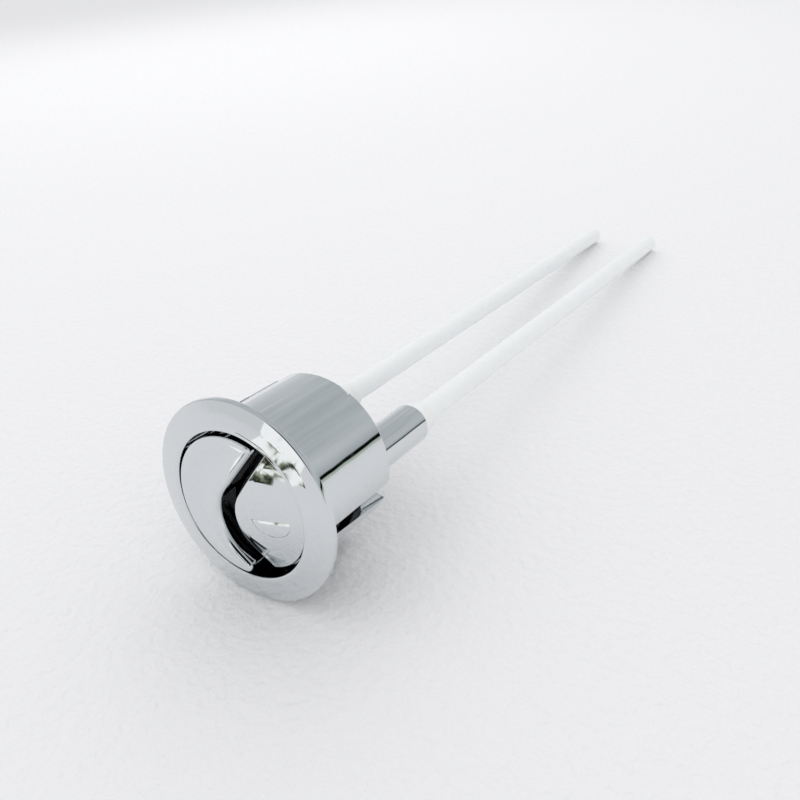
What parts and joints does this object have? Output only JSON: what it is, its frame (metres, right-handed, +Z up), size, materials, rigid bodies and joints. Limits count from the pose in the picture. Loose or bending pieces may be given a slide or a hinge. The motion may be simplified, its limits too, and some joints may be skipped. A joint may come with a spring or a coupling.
{
  "type": "dual flush push button",
  "caption": "Chrome dual-flush push button for a toilet cistern lid: round bezel and barrel, a large and a small button, and long white push rods.",
  "frame": {"origin": "middle of the unit's footprint at table height, as it lies on a table on its bezel's edge and both rod tips", "axes": "+Y from the button's face towards the rod tips, +Z up, +X from the full-flush rod to the half-flush rod; fitted in a lid, the rods point down"},
  "size_m": [0.048, 0.2242, 0.0479],
  "materials": {
    "chrome_plate": "polished",
    "black_moulding": "satin",
    "white_plastic": "satin",
    "spring_steel": "satin",
    "zinc_steel": "satin",
    "buffer_rubber": "matte",
    "gasket_foam": "matte"
  },
  "bodies": {
    "housing": {"bezel_housing": "chrome_plate", "lid_gasket": "gasket_foam", "inner_carrier": "black_moulding"},
    "full_button": {"full_flush_cap": "chrome_plate", "full_flush_plunger": "black_moulding", "full_cap_screw": "zinc_steel", "full_return_spring": "spring_steel", "full_buffer": "buffer_rubber", "full_flush_stem": "chrome_plate", "full_stem_pin": "zinc_steel", "full_rod_bush": "white_plastic", "full_push_rod": "white_plastic"},
    "half_button": {"half_flush_cap": "chrome_plate", "half_flush_plunger": "black_moulding", "half_cap_screw": "zinc_steel", "half_return_spring": "spring_steel", "half_buffer": "buffer_rubber", "half_flush_stem": "chrome_plate", "half_stem_pin": "zinc_steel", "half_rod_bush": "white_plastic", "half_push_rod": "white_plastic"}
  },
  "joints": [
    {"name": "full_press", "type": "slide", "parent": "housing", "child": "full_button", "axis": [0, 0.9954, -0.096], "range_m": [0, 0.006], "stiffness_N_per_m": 200, "springref_m": -0.004, "deforming": ["full_return_spring"]},
    {"name": "half_press", "type": "slide", "parent": "housing", "child": "half_button", "axis": [0, 0.9954, -0.096], "range_m": [0, 0.006], "stiffness_N_per_m": 200, "springref_m": -0.004, "deforming": ["half_return_spring"]}
  ]
}
